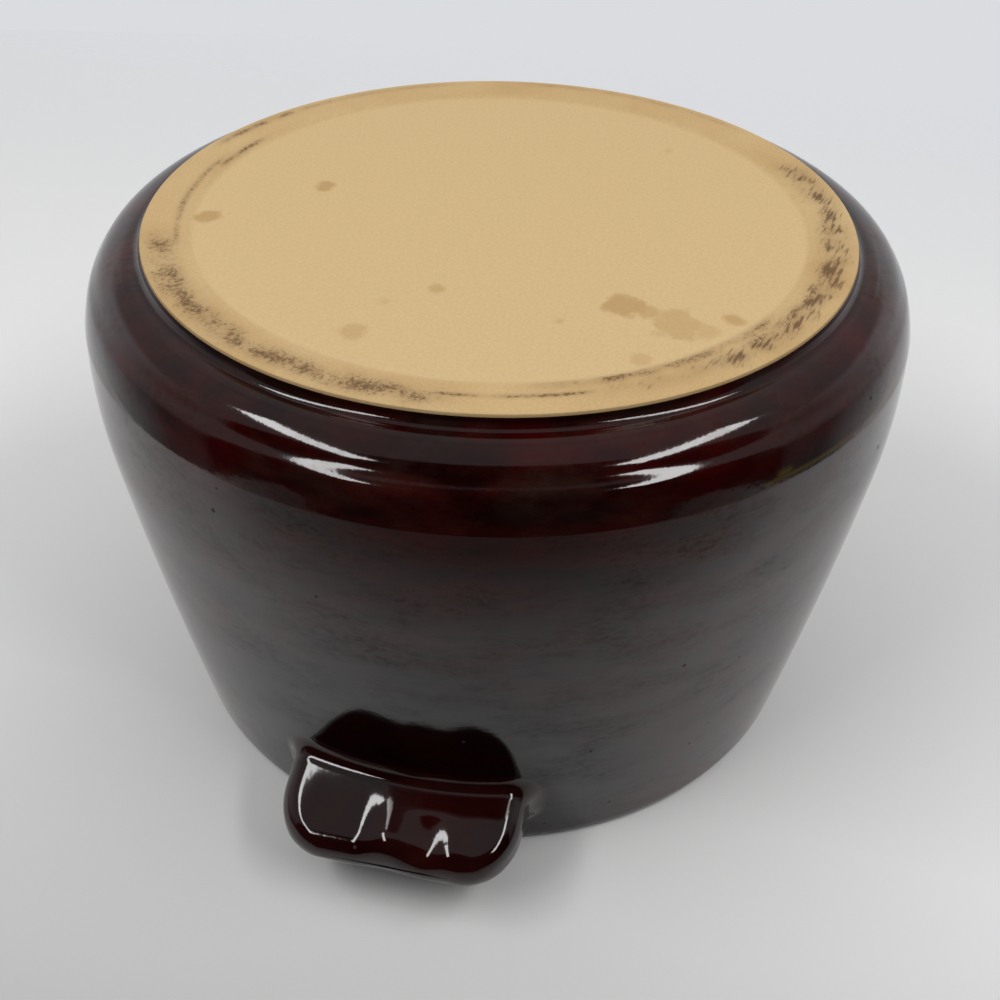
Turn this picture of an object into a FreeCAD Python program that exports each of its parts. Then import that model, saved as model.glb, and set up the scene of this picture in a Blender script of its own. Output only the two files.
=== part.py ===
import FreeCAD, Part
import math
import os

# A stoneware bean pot: a clay body with a bare foot, two solid lug handles stuck on with slip,
# and a fired glaze outside and inside. Millimetres. +Z is up with the mouth on top, the origin
# is the centre of the foot, and the lugs stand on the X axis.
# The pot is turned from its half section. A heading there is in degrees: 0 points away from the
# axis and 90 points up, so the outline climbs from the foot with the clay on its left.

# Overall form
POT_HEIGHT = 122.5
FOOT_RADIUS = 80.0
BELLY_OVERHANG = 14.8  # how far the belly stands out past the foot
BELLY_HEIGHT = 28.0  # widest place above the foot
RIM_INSET = 12.6  # how far the wall has drawn in again at the lip
WALL_THICKNESS = 7.5
FLOOR_THICKNESS = 9.0
GLAZE_THICKNESS = 0.5

# Foot: a bare ring around a shallow recess
FOOT_WALL = 1.3
FOOT_WALL_HEADING = 84.0
FOOT_RING_WIDTH = 10.5
FOOT_RECESS = 0.8
RECESS_SLOPE = 1.2  # width of the soft step into the recess
GLAZE_LINE = 0.7  # height at which the glaze begins

# Shoulder, from the cove above the foot to the crease under the belly
COVE_RADIUS = 2.0
LEDGE_WIDTH = 0.8
ROLL_END_HEADING = 60.0
CREASE_START_HEADING = 78.0
CREASE_END_HEADING = 85.0
CREASE_RADIUS = 2.0

# Wall
BELLY_ARC_RADIUS = 130.0
TAPER_HEADING = 97.0  # where the round belly goes over into the long taper

# Mouth
LIP_THICKNESS = 5.2
LIP_RADIUS = 2.4
LIP_ROUND_SHARE = 0.46  # most of the lip's thickness that one round may take
SEAT_DEPTH = 4.0  # ledge inside the lip that a lid rests on

# Lug handles
LUG_OUTSTAND = 21.1  # outer face past the outside of the rim
LUG_WIDTH = 55.0
LUG_TOP_DROP = 11.5  # mouth plane down to the lug's top
LUG_ROOT_THICKNESS = 14.5
LUG_TIP_THICKNESS = 10.5
LUG_CORNER_RADIUS = 12.7
LUG_EDGE_RADIUS = 4.8
LUG_EDGE_SHARE = 0.46  # most of the tip's thickness that one rounded edge may take
DENT_WIDTH = 21.0  # along the lug
DENT_LENGTH = 12.0  # from the wall outwards
DENT_DEPTH = 2.2
DENT_PITCH = 25.0  # between the centres of the two dents
DENT_FROM_TIP = 7.0
BEAD_RADIUS = 3.5  # fillet of slip around the lug's root
JOINT_STANDOFF = 0.3  # from the glazed wall out to the joint, so that it clears the wall's skin
SLIP_LAYER = 0.8  # slip between lug and wall

# Sizes that follow
BELLY_RADIUS = FOOT_RADIUS + BELLY_OVERHANG
RIM_RADIUS = BELLY_RADIUS - RIM_INSET
SEAT_RADIUS = RIM_RADIUS - LIP_THICKNESS
LIP_ROUND = min(LIP_RADIUS, LIP_ROUND_SHARE * LIP_THICKNESS)
LUG_REACH = RIM_RADIUS + LUG_OUTSTAND
LUG_EDGE = min(LUG_EDGE_RADIUS, LUG_EDGE_SHARE * LUG_TIP_THICKNESS)
LUG_TOP = POT_HEIGHT - LUG_TOP_DROP
LUG_CLIMB = (LUG_ROOT_THICKNESS - LUG_TIP_THICKNESS) / LUG_OUTSTAND
CLEAR_CUT = 5.0  # how far a cutting shape runs past what it cuts
TOUCH = 0.01  # edges nearer than this to two shapes lie on both

UP = FreeCAD.Vector(0, 0, 1)
ORIGIN = FreeCAD.Vector(0, 0, 0)
LEVEL = 0.5  # upward share of a normal past which a face counts as top or underside


def sin(heading):
    return math.sin(math.radians(heading))


def cos(heading):
    return math.cos(math.radians(heading))


def along(heading):
    return FreeCAD.Vector(cos(heading), 0, sin(heading))


def chain(start, steps, inset):
    """Edges of lines and arcs that leave each other smoothly, drawn inset into the clay.

    A step is (heading, length, None) for a line and (heading, radius, end heading) for an arc.
    """
    point = start + along(steps[0][0] + 90.0) * inset
    edges = []
    for heading, size, end_heading in steps:
        if end_heading is None:
            end = point + along(heading) * size
            edges.append(Part.LineSegment(point, end).toShape())
        else:
            side = 90.0 if end_heading > heading else -90.0
            radius = size - inset if side > 0 else size + inset
            centre = point + along(heading + side) * radius
            middle = centre - along((heading + end_heading) / 2.0 + side) * radius
            end = centre - along(end_heading + side) * radius
            edges.append(Part.Arc(point, middle, end).toShape())
        point = end
    return edges, point


def shoulder_radii():
    """Radii of the roll and of the slope above it, so that the shoulder meets the crease."""
    across = BELLY_RADIUS - BELLY_ARC_RADIUS * (1.0 - sin(CREASE_END_HEADING))
    across -= CREASE_RADIUS * (sin(CREASE_END_HEADING) - sin(CREASE_START_HEADING))
    across -= FOOT_RADIUS + FOOT_WALL * cos(FOOT_WALL_HEADING)
    across -= COVE_RADIUS * sin(FOOT_WALL_HEADING) + LEDGE_WIDTH
    up = BELLY_HEIGHT - BELLY_ARC_RADIUS * cos(CREASE_END_HEADING)
    up -= CREASE_RADIUS * (cos(CREASE_START_HEADING) - cos(CREASE_END_HEADING))
    up -= FOOT_WALL * sin(FOOT_WALL_HEADING) + COVE_RADIUS * (1.0 - cos(FOOT_WALL_HEADING))
    roll_across, roll_up = sin(ROLL_END_HEADING), 1.0 - cos(ROLL_END_HEADING)
    slope_across = sin(CREASE_START_HEADING) - sin(ROLL_END_HEADING)
    slope_up = cos(ROLL_END_HEADING) - cos(CREASE_START_HEADING)
    share = roll_across * slope_up - slope_across * roll_up
    roll = (across * slope_up - slope_across * up) / share
    slope = (roll_across * up - across * roll_up) / share
    return roll, slope


def taper_arc():
    """Radius and end heading of the long arc from the belly that runs smoothly into the lip."""
    start = FreeCAD.Vector(
        BELLY_RADIUS - BELLY_ARC_RADIUS * (1.0 - sin(TAPER_HEADING)),
        0,
        BELLY_HEIGHT - BELLY_ARC_RADIUS * cos(TAPER_HEADING),
    )
    lip_centre = FreeCAD.Vector(RIM_RADIUS - LIP_ROUND, 0, POT_HEIGHT - LIP_ROUND)
    chord = lip_centre - (start + along(TAPER_HEADING + 90.0) * LIP_ROUND)
    half_turn = math.degrees(math.atan2(chord.z, chord.x)) - TAPER_HEADING
    radius = abs(chord.Length / (2.0 * sin(half_turn)))
    return radius + math.copysign(LIP_ROUND, half_turn), TAPER_HEADING + 2.0 * half_turn


def turned(edges):
    """Solid of revolution from a closed half section, with its seam away from the lugs."""
    face = Part.Face(Part.Wire(edges))
    solid = face.revolve(ORIGIN, UP, 360)
    solid.rotate(ORIGIN, UP, 90)
    return solid if solid.Volume > 0 else solid.reversed()


def closed_on_axis(edges, start, end):
    """The chain from start to end, closed along two level lines and the axis."""
    foot, head = FreeCAD.Vector(0, 0, start.z), FreeCAD.Vector(0, 0, end.z)
    lines = [(end, head), (head, foot), (foot, start)]
    return edges + [Part.LineSegment(a, b).toShape() for a, b in lines]


def outer_mass(inset):
    """The pot's outside without its hollow, inset from the finished surface."""
    roll, slope = shoulder_radii()
    taper, lip_heading = taper_arc()
    steps = [
        (FOOT_WALL_HEADING, FOOT_WALL, None),
        (FOOT_WALL_HEADING, COVE_RADIUS, 0.0),
        (0.0, LEDGE_WIDTH, None),
        (0.0, roll, ROLL_END_HEADING),
        (ROLL_END_HEADING, slope, CREASE_START_HEADING),
        (CREASE_START_HEADING, CREASE_RADIUS, CREASE_END_HEADING),
        (CREASE_END_HEADING, BELLY_ARC_RADIUS, TAPER_HEADING),
        (TAPER_HEADING, taper, lip_heading),
        (lip_heading, LIP_ROUND, 180.0),
    ]
    edges, crest = chain(FreeCAD.Vector(FOOT_RADIUS, 0, 0), steps, inset)
    return turned(closed_on_axis(edges, edges[0].Vertexes[0].Point, crest))


def hollow(inset):
    """The pot's inside, with its wall inset from the finished outside; it runs out of the mouth."""
    floor = FLOOR_THICKNESS - WALL_THICKNESS + inset
    corner = BELLY_HEIGHT - floor
    taper, lip_heading = taper_arc()
    corner_start = FreeCAD.Vector(BELLY_RADIUS - inset - corner, 0, floor)
    corner_edges, _ = chain(corner_start, [(0.0, corner, 90.0)], 0.0)
    steps = [
        (90.0, BELLY_ARC_RADIUS, TAPER_HEADING),
        (TAPER_HEADING, taper, lip_heading),
        (lip_heading, LIP_ROUND + CLEAR_CUT, None),
    ]
    wall_edges, top = chain(FreeCAD.Vector(BELLY_RADIUS, 0, BELLY_HEIGHT), steps, inset)
    return turned(closed_on_axis(corner_edges + wall_edges, corner_start, top))


def mouth_cut(coat):
    """Hollow and lid seat together, cut back by the thickness of the coat."""
    seat_floor = FreeCAD.Vector(0, 0, POT_HEIGHT - SEAT_DEPTH - coat)
    seat = Part.makeCylinder(SEAT_RADIUS + coat, SEAT_DEPTH + coat + CLEAR_CUT, seat_floor)
    return hollow(WALL_THICKNESS - coat).fuse(seat)


def rounded_lip(pot, coat):
    """Rounds the lip's inner edge, the circle around the mouth."""
    radius = SEAT_RADIUS + coat
    rings = [
        edge
        for edge in pot.Edges
        if abs(edge.BoundBox.ZMin - (POT_HEIGHT - coat)) < TOUCH
        and edge.BoundBox.ZLength < TOUCH
        and abs(edge.BoundBox.XMax - radius) < TOUCH
    ]
    return pot.makeFillet(LIP_ROUND - coat, rings)


def lug_side_face(inset):
    """The lug seen from its side: level on top, rising a little underneath towards its tip."""
    root = RIM_RADIUS - WALL_THICKNESS
    root_bottom = LUG_TOP - LUG_ROOT_THICKNESS - LUG_CLIMB * WALL_THICKNESS
    corners = [
        FreeCAD.Vector(root - inset, 0, root_bottom - LUG_CLIMB * inset),
        FreeCAD.Vector(LUG_REACH, 0, LUG_TOP - LUG_TIP_THICKNESS),
        FreeCAD.Vector(LUG_REACH, 0, LUG_TOP),
        FreeCAD.Vector(root - inset, 0, LUG_TOP),
    ]
    face = Part.Face(Part.makePolygon(corners + corners[:1]))
    return face.makeOffset2D(-inset) if inset else face


def lug_block(inset):
    """One pressed lug on +X, from inside the wall to its outer face."""
    width = LUG_WIDTH - 2.0 * inset
    side = lug_side_face(inset)
    block = side.extrude(FreeCAD.Vector(0, width, 0)).translated(FreeCAD.Vector(0, -width / 2.0, 0))
    tip = block.BoundBox.XMax
    corners = [
        edge
        for edge in block.Edges
        if tip - edge.BoundBox.XMin < TOUCH and edge.BoundBox.YLength < TOUCH
    ]
    block = block.makeFillet(LUG_CORNER_RADIUS - inset, corners)
    root = block.BoundBox.XMin
    rims = {}
    for face in block.Faces:
        if abs(face.normalAt(0, 0).z) > LEVEL:
            for edge in face.Edges:
                if edge.BoundBox.XMax - root > TOUCH:
                    rims[edge.hashCode()] = edge
    block = block.makeFillet(LUG_EDGE - inset, list(rims.values()))
    return block.cut(finger_dents(inset))


def finger_dents(inset):
    """The two long rounded tools that press the dents into the lug's underside."""
    place = LUG_REACH - DENT_FROM_TIP
    underside = LUG_TOP - LUG_TIP_THICKNESS - LUG_CLIMB * DENT_FROM_TIP
    radius = ((DENT_LENGTH / 2.0) ** 2 + DENT_DEPTH**2) / (2.0 * DENT_DEPTH)
    stretch = FreeCAD.Matrix()
    stretch.scale(1.0, DENT_WIDTH / DENT_LENGTH, 1.0)
    tool = Part.makeSphere(radius + inset).transformGeometry(stretch)
    height = underside - radius + DENT_DEPTH
    centres = [FreeCAD.Vector(place, side * DENT_PITCH / 2.0, height) for side in (-1, 1)]
    first, second = [tool.translated(centre) for centre in centres]
    return first.fuse(second)


def both_lugs(inset):
    """The lug blocks of both sides as one shape."""
    block = lug_block(inset)
    return block.fuse(block.rotated(ORIGIN, UP, 180))


def beaded(inset):
    """Wall and lugs as one mass, with the bead of slip around each lug's root."""
    mass, lugs = outer_mass(inset), both_lugs(inset)
    joined = mass.fuse(lugs)
    root_edges = []
    for edge in joined.Edges:
        middle = Part.Vertex(edge.valueAt((edge.FirstParameter + edge.LastParameter) / 2.0))
        inside_mouth = math.hypot(middle.X, middle.Y) < RIM_RADIUS - WALL_THICKNESS
        on_both = middle.distToShape(mass)[0] < TOUCH and middle.distToShape(lugs)[0] < TOUCH
        if on_both and not inside_mouth:
            root_edges.append(edge)
    return joined.makeFillet(BEAD_RADIUS + inset, root_edges)


def foot_recess():
    outer = FOOT_RADIUS - FOOT_RING_WIDTH
    return Part.makeCone(outer, outer - RECESS_SLOPE, FOOT_RECESS)


def foot_band():
    """The foot's edge below the glaze line, which stays bare clay out to the finished surface."""
    return outer_mass(0.0).common(Part.makeCylinder(BELLY_RADIUS, GLAZE_LINE))


def opened(mass, coat):
    """mass with its mouth, lip and foot recess cut, leaving room for a coat of glaze."""
    return rounded_lip(mass.cut(mouth_cut(coat)), coat).cut(foot_recess())


def clay_and_glaze():
    """All that lies under the glaze as one mass, and the coat of glaze around it."""
    clay = opened(beaded(GLAZE_THICKNESS).fuse(foot_band()), GLAZE_THICKNESS)
    return clay, opened(beaded(0.0), 0.0).cut(clay)


def parted_at_joints(clay):
    """Body, slip and lugs: each lug is parted from the body by a layer of slip that follows the wall."""
    inner = outer_mass(-JOINT_STANDOFF)
    outer = outer_mass(-JOINT_STANDOFF - SLIP_LAYER)
    return clay.common(inner), clay.common(outer).cut(inner), clay.cut(outer)


def outer_coat_and_liner(coat):
    """The coat parted in the middle of the wall, on the lip."""
    middle = hollow(WALL_THICKNESS / 2.0)
    return coat.cut(middle), coat.common(middle)


def by_side(shape, name):
    """The two solids of a shape, named by the side they lie on."""
    solids = sorted(shape.Solids, key=lambda solid: solid.CenterOfMass.x)
    return dict(zip(["left_" + name, "right_" + name], solids, strict=True))


def one_solid(shape, name):
    solids = shape.Solids
    if len(solids) != 1 or not solids[0].isValid():
        raise RuntimeError("{}: {} solids".format(name, len(solids)))
    return solids[0]


def main():
    os.makedirs("parts", exist_ok=True)
    clay, coat = clay_and_glaze()
    body, slips, lugs = parted_at_joints(clay)
    outer_glaze, liner_glaze = outer_coat_and_liner(coat)
    parts = {"stoneware_body": body, "outer_glaze": outer_glaze, "liner_glaze": liner_glaze}
    parts.update(by_side(lugs, "lug"))
    parts.update(by_side(slips, "lug_slip"))
    for name, shape in parts.items():
        solid = one_solid(shape, name)
        solid.exportStep("parts/{}.step".format(name))
        print("{}: {:.0f} mm3".format(name, solid.Volume))


main()
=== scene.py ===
"""A stoneware bean pot: a bare clay foot, an oxblood glaze outside and inside, and two lug handles
pressed with finger dents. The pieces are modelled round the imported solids, in metres, with +Z up
through the mouth. The stage shows the pot lying on its mouth, with its foot up."""

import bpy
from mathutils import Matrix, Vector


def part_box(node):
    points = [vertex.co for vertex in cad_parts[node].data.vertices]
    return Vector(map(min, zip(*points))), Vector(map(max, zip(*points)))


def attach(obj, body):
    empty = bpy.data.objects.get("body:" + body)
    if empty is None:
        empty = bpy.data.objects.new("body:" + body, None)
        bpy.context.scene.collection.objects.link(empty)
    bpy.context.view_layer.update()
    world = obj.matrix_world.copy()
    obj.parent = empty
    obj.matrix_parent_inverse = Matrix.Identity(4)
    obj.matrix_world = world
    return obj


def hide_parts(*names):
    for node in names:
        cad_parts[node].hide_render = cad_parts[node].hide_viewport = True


bl_info = {
    "name": "Stoneware bean pot",
    "version": (1, 0, 0),
    "blender": (4, 5, 0),
    "location": "3D View > Sidebar > Bean pot",
    "description": "Builds a glazed stoneware bean pot with lug handles around its packed solids",
    "category": "Object",
}

import math
from functools import partial

import bmesh
import bpy
from bpy.props import FloatProperty, FloatVectorProperty, IntProperty, PointerProperty
from mathutils import Matrix, Vector, noise
from mathutils.bvhtree import BVHTree

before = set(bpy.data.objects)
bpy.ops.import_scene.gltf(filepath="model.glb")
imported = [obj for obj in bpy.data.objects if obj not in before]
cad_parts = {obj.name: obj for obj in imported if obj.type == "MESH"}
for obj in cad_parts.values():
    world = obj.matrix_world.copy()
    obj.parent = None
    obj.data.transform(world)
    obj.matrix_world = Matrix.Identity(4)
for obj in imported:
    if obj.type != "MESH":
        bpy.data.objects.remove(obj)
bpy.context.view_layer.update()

MM = 0.001
UP = Vector((0, 0, 1))
ORIGIN = Vector((0, 0, 0))
WELD = 0.001 * MM  # vertices nearer than this are one

BODY_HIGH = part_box("stoneware_body")[1]
COAT_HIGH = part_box("outer_glaze")[1]
LINER_LOW, LINER_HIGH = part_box("liner_glaze")
LUG_LOW, LUG_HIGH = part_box("right_lug")
FLARE = Vector((0, 0.19, 0.43)) * MM  # how much further the lug's box reaches at its fillet
COAT = COAT_HIGH.y - BODY_HIGH.y  # thickness of the glaze

# Spacing of the points along a half section
UNSEEN = 4 * MM  # under the glaze, or flat
SMALL = 0.5 * MM  # small rounds and steps


def linear(code):
    """An sRGB hex colour as linear RGBA."""
    channels = [int(code[i : i + 2], 16) / 255 for i in (0, 2, 4)]
    return [c / 12.92 if c <= 0.04045 else ((c + 0.055) / 1.055) ** 2.4 for c in channels] + [1.0]


def length(name, default, description):
    return FloatProperty(name=name, description=description, default=default, unit="LENGTH", precision=5)


def angle(name, degrees, description):
    return FloatProperty(
        name=name, description=description, default=math.radians(degrees), subtype="ANGLE"
    )


def share(name, default, description):
    return FloatProperty(name=name, description=description, default=default, subtype="FACTOR")


def colour(name, default, description):
    return FloatVectorProperty(
        name=name, description=description, default=linear(default), size=4, subtype="COLOR"
    )


class PotForm(bpy.types.PropertyGroup):
    """The turned form of the pot"""

    height: length("Height", COAT_HIGH.z, "Foot to lip")
    foot_radius: length("Foot radius", 80 * MM, "Outside of the bare foot")
    belly_radius: length("Belly radius", COAT_HIGH.y, "Widest place of the wall")
    belly_height: length("Belly height", 28 * MM, "Widest place above the foot")
    rim_radius: length("Rim radius", 82.2 * MM, "Outside of the lip")
    wall: length("Wall", COAT_HIGH.y - LINER_HIGH.y + COAT, "Clay and glaze of the wall")
    floor: length("Floor", LINER_LOW.z + COAT, "Foot to the inside of the floor")
    coat: length("Coat", COAT, "Thickness of the glaze")
    glaze_line: length("Glaze line", 0.7 * MM, "Where the glaze begins above the foot")
    ring_width: length("Ring width", 10.5 * MM, "Width of the foot's bare ring")
    recess: length("Recess", 0.8 * MM, "Depth of the recess inside the ring")
    recess_slope: length("Recess slope", 3.0 * MM, "Width of the soft step into the recess")
    foot_edge: length("Foot edge", 0.4 * MM, "Round on the foot's outer edge")
    foot_wall: length("Foot wall", 1.3 * MM, "Height of the foot's wall below the cove")
    cove: length("Cove", 2.0 * MM, "Radius of the cove above the foot wall")
    ledge: length("Ledge", 0.8 * MM, "Width of the ledge between cove and roll")
    crease: length("Crease", 2.0 * MM, "Radius of the crease under the belly")
    belly_arc: length("Belly arc", 130 * MM, "Radius of the belly seen from the side")
    lip: length("Lip", 5.2 * MM, "Thickness of the lip")
    lip_round: length("Lip round", 2.39 * MM, "Round of the lip's two edges")
    seat_depth: length("Seat depth", 4.0 * MM, "Depth of the ledge that a lid rests on")
    seat_edge: length("Seat edge", 0.7 * MM, "Round of the ledge's edges, where glaze gathers")
    unevenness: length("Unevenness", 0.10 * MM, "How far the glazed wall wanders from true")
    groove: length("Groove", 0.18 * MM, "Depth of the throwing groove on the shoulder")
    groove_height: length("Groove height", 6.9 * MM, "Foot to the throwing groove")
    groove_reach: length("Groove reach", 1.1 * MM, "How fast the groove ends")
    ridge: length("Ridge", 0.85 * MM, "How far the throwing ridge on the shoulder stands out")
    ridge_height: length("Ridge height", 9.7 * MM, "Foot to the throwing ridge")
    ridge_below: length("Ridge below", 1.7 * MM, "How fast the ridge falls towards the foot")
    ridge_above: length("Ridge above", 4.2 * MM, "How fast the ridge falls towards the belly")
    segments: IntProperty(name="Segments", description="Faces round the pot", default=384, min=24)


class LugForm(bpy.types.PropertyGroup):
    """The two pressed lug handles"""

    reach: length("Reach", COAT_HIGH.x, "Axis to the lug's outer face")
    width: length("Width", LUG_HIGH.y - LUG_LOW.y + 2 * (COAT - FLARE.y), "Across the lug")
    top: length("Top", LUG_HIGH.z + COAT - FLARE.z, "Foot to the lug's upper face")
    root: length("Root thickness", 14.5 * MM, "Thickness where the lug leaves the wall")
    tip: length("Tip thickness", 10.5 * MM, "Thickness at the outer face")
    corner: length("Corner", 12.7 * MM, "Radius of the outer corners seen from above")
    edge: length("Edge", 4.8 * MM, "Radius of the lug's long edges")
    bead: length("Bead", 3.5 * MM, "Fillet where the lug meets the wall")
    dent_start: length("Dent start", 3.5 * MM, "Wall to where the broad dent begins")
    dents_start: length("Narrow dents' start", 9 * MM, "Wall to where the other dents begin")
    dent_depth: length("Dent depth", 2.8 * MM, "Depth of the finger dents at the outer face")


class ClayLook(bpy.types.PropertyGroup):
    """Bare stoneware of the foot"""

    clay: colour("Clay", "C6AA7B", "Fired buff clay")
    worn: colour("Worn clay", "B08C58", "Clay of the foot ring, darker from standing")
    grime: colour("Grime", "54351A", "Soot and dirt rubbed into the ring")
    stain: colour("Stain", "A27D46", "Dried brown spots")


class GlazeLook(bpy.types.PropertyGroup):
    """Oxblood glaze"""

    dark: colour("Dark glaze", "140202", "Glaze where it lies thick")
    red: colour("Red glaze", "380404", "Glaze where light gets through it")
    olive: colour("Thin glaze", "46380E", "Glaze where it breaks thin over the crease")
    # painted shade: the colour that darkens the wall around the lugs, where their shade and dark
    # reflection fall
    deep: colour("Painted lug shade", "060101", "Dark painted on the wall around the lugs as their shade")
    film: colour("Film", "3E2E26", "Worn and dusty skin of the glaze")
    roughness: share("Roughness", 0.08, "Roughness of the fired surface")


class StageSetup(bpy.types.PropertyGroup):
    """Table, lamps and camera"""

    lug_turn: angle("Lug turn", 12.46, "Lug to the left of the line from the axis to the viewer")
    camera_right: length("Camera right", 1.3 * MM, "Camera to the right of the axis")
    camera_away: length("Camera away", -261.9 * MM, "Camera beyond the axis")
    camera_above: length("Camera above", 128.35 * MM, "Camera above the foot")
    pitch: angle("Pitch", 39.12, "Camera looks down")
    roll: angle("Roll", 1.17, "Camera leans")
    lens: FloatProperty(name="Lens", description="Focal length for a 36 mm sensor", default=45.0)


class BeanPot(bpy.types.PropertyGroup):
    """Everything that can be set on the bean pot"""

    form: PointerProperty(type=PotForm)
    lugs: PointerProperty(type=LugForm)
    clay: PointerProperty(type=ClayLook)
    glaze: PointerProperty(type=GlazeLook)
    stage: PointerProperty(type=StageSetup)


# Half sections. A heading is in degrees: 0 points away from the axis and 90 points up.

FOOT_HEADING = 84.0
ROLL_HEADING = 60.0
CREASE_START = 78.0
CREASE_END = 85.0
TAPER_HEADING = 97.0


def sin(heading):
    return math.sin(math.radians(heading))


def cos(heading):
    return math.cos(math.radians(heading))


def along(heading):
    return Vector((cos(heading), 0, sin(heading)))


def draw(bm, tip, steps, spacing, inset=0.0):
    """Draws lines (heading, length, None) and arcs (heading, radius, end heading) from the vertex
    tip, inset into the clay on their left, and returns the last vertex."""
    for heading, size, end in steps:
        if end is None:
            pieces = max(1, math.ceil(size / spacing))
            for _ in range(pieces):
                tip = bmesh.ops.extrude_vert_indiv(bm, verts=[tip])["verts"][0]
                tip.co += along(heading) * size / pieces
        else:
            side = 90 if end > heading else -90
            radius = size - inset if side > 0 else size + inset
            turn = math.radians(end - heading)
            made = bmesh.ops.spin(
                bm,
                geom=[tip],
                cent=tip.co + along(heading + side) * radius,
                axis=(0, -1, 0),
                dvec=ORIGIN,
                angle=turn,
                steps=max(2, math.ceil(radius * abs(turn) / spacing)),
                use_duplicate=False,
            )
            tip = next(part for part in made["geom_last"] if isinstance(part, bmesh.types.BMVert))
    return tip


def shoulder_radii(form):
    """Radii of the roll and of the slope above it, so that the shoulder meets the crease."""
    across = form.belly_radius - form.belly_arc * (1 - sin(CREASE_END))
    across -= form.crease * (sin(CREASE_END) - sin(CREASE_START))
    across -= form.foot_radius + form.foot_wall * cos(FOOT_HEADING)
    across -= form.cove * sin(FOOT_HEADING) + form.ledge
    up = form.belly_height - form.belly_arc * cos(CREASE_END)
    up -= form.crease * (cos(CREASE_START) - cos(CREASE_END))
    up -= form.foot_wall * sin(FOOT_HEADING) + form.cove * (1 - cos(FOOT_HEADING))
    roll_across, roll_up = sin(ROLL_HEADING), 1 - cos(ROLL_HEADING)
    slope_across = sin(CREASE_START) - sin(ROLL_HEADING)
    slope_up = cos(ROLL_HEADING) - cos(CREASE_START)
    divisor = roll_across * slope_up - slope_across * roll_up
    roll = (across * slope_up - slope_across * up) / divisor
    return roll, (roll_across * up - across * roll_up) / divisor


def belly_end(form):
    """Where the round belly goes over into the long taper."""
    across = form.belly_radius - form.belly_arc * (1 - sin(TAPER_HEADING))
    return Vector((across, 0, form.belly_height - form.belly_arc * cos(TAPER_HEADING)))


def taper_arc(form):
    """Radius and end heading of the long arc from the belly that runs smoothly into the lip."""
    centre = Vector((form.rim_radius - form.lip_round, 0, form.height - form.lip_round))
    chord = centre - (belly_end(form) + along(TAPER_HEADING + 90) * form.lip_round)
    half_turn = math.degrees(math.atan2(chord.z, chord.x)) - TAPER_HEADING
    radius = abs(chord.length / (2 * sin(half_turn)))
    return radius + math.copysign(form.lip_round, half_turn), TAPER_HEADING + 2 * half_turn


def shoulder_and_wall(form):
    """Steps of the outside from the top of the foot wall to the crest of the lip."""
    roll, slope = shoulder_radii(form)
    taper, lip_heading = taper_arc(form)
    return [
        (FOOT_HEADING, form.cove, 0),
        (0, form.ledge, None),
        (0, roll, ROLL_HEADING),
        (ROLL_HEADING, slope, CREASE_START),
        (CREASE_START, form.crease, CREASE_END),
        (CREASE_END, form.belly_arc, TAPER_HEADING),
        (TAPER_HEADING, taper, lip_heading),
        (lip_heading, form.lip_round, 180),
    ]


def floor_and_wall(form, inset, top):
    """Steps of the inside, inset from the finished outside, from the axis up to the height top."""
    corner = form.belly_height - (form.floor - form.wall + inset)
    taper = taper_arc(form)[0]
    centre = belly_end(form) + along(TAPER_HEADING + 90) * taper
    end = math.degrees(math.acos((centre.z - top) / (taper - inset)))
    return [
        (0, form.belly_radius - inset - corner, None),
        (0, corner, 90),
        (90, form.belly_arc - inset, TAPER_HEADING),
        (TAPER_HEADING, taper - inset, end),
    ]


def turn(bm, segments):
    """Turns the half section once round the pot's axis and closes its seam and poles."""
    doublings = 4
    wedge = math.tau / 2**doublings
    steps = segments // 2**doublings
    half = bm.verts[:] + bm.edges[:]
    bmesh.ops.spin(bm, geom=half, cent=ORIGIN, axis=UP, dvec=ORIGIN, angle=wedge, steps=steps)
    for doubling in range(doublings):
        made = bmesh.ops.duplicate(bm, geom=bm.verts[:] + bm.edges[:] + bm.faces[:])["geom"]
        verts = [part for part in made if isinstance(part, bmesh.types.BMVert)]
        onward = Matrix.Rotation(wedge * 2**doubling, 3, UP)
        bmesh.ops.rotate(bm, verts=verts, cent=ORIGIN, matrix=onward)
    bmesh.ops.remove_doubles(bm, verts=bm.verts, dist=WELD)


def finished(name, bm, material, nodes, sharp=50):
    """Turns the bmesh into a smooth piece that rides on the pot and stands for its nodes."""
    bmesh.ops.recalc_face_normals(bm, faces=bm.faces)
    mesh = bpy.data.meshes.new(name)
    bm.to_mesh(mesh)
    bm.free()
    mesh.materials.append(material)
    mesh.shade_smooth()
    mesh.set_sharp_from_angle(angle=math.radians(sharp))
    piece = bpy.data.objects.new(name, mesh)
    bpy.context.scene.collection.objects.link(piece)
    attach(piece, "root")
    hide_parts(*nodes)
    return piece


# Materials


def add_node(tree, kind, inputs=None, **settings):
    """Adds a shader node with its settings. inputs gives sockets their value, or what feeds them."""
    made = tree.nodes.new("ShaderNode" + kind)
    for name, value in settings.items():
        setattr(made, name, value)
    for socket, value in (inputs or {}).items():
        if isinstance(value, bpy.types.NodeSocket):
            tree.links.new(value, made.inputs[socket])
        else:
            made.inputs[socket].default_value = value
    return made


def new_material(name):
    """An empty node material, its tree and a function that adds nodes to it."""
    material = bpy.data.materials.new(name)
    material.use_nodes = True
    material.node_tree.nodes.clear()
    return material, partial(add_node, material.node_tree)


def per_metre(size):
    """Scale of a pattern whose cells are size metres wide."""
    return 1.0 / size


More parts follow.
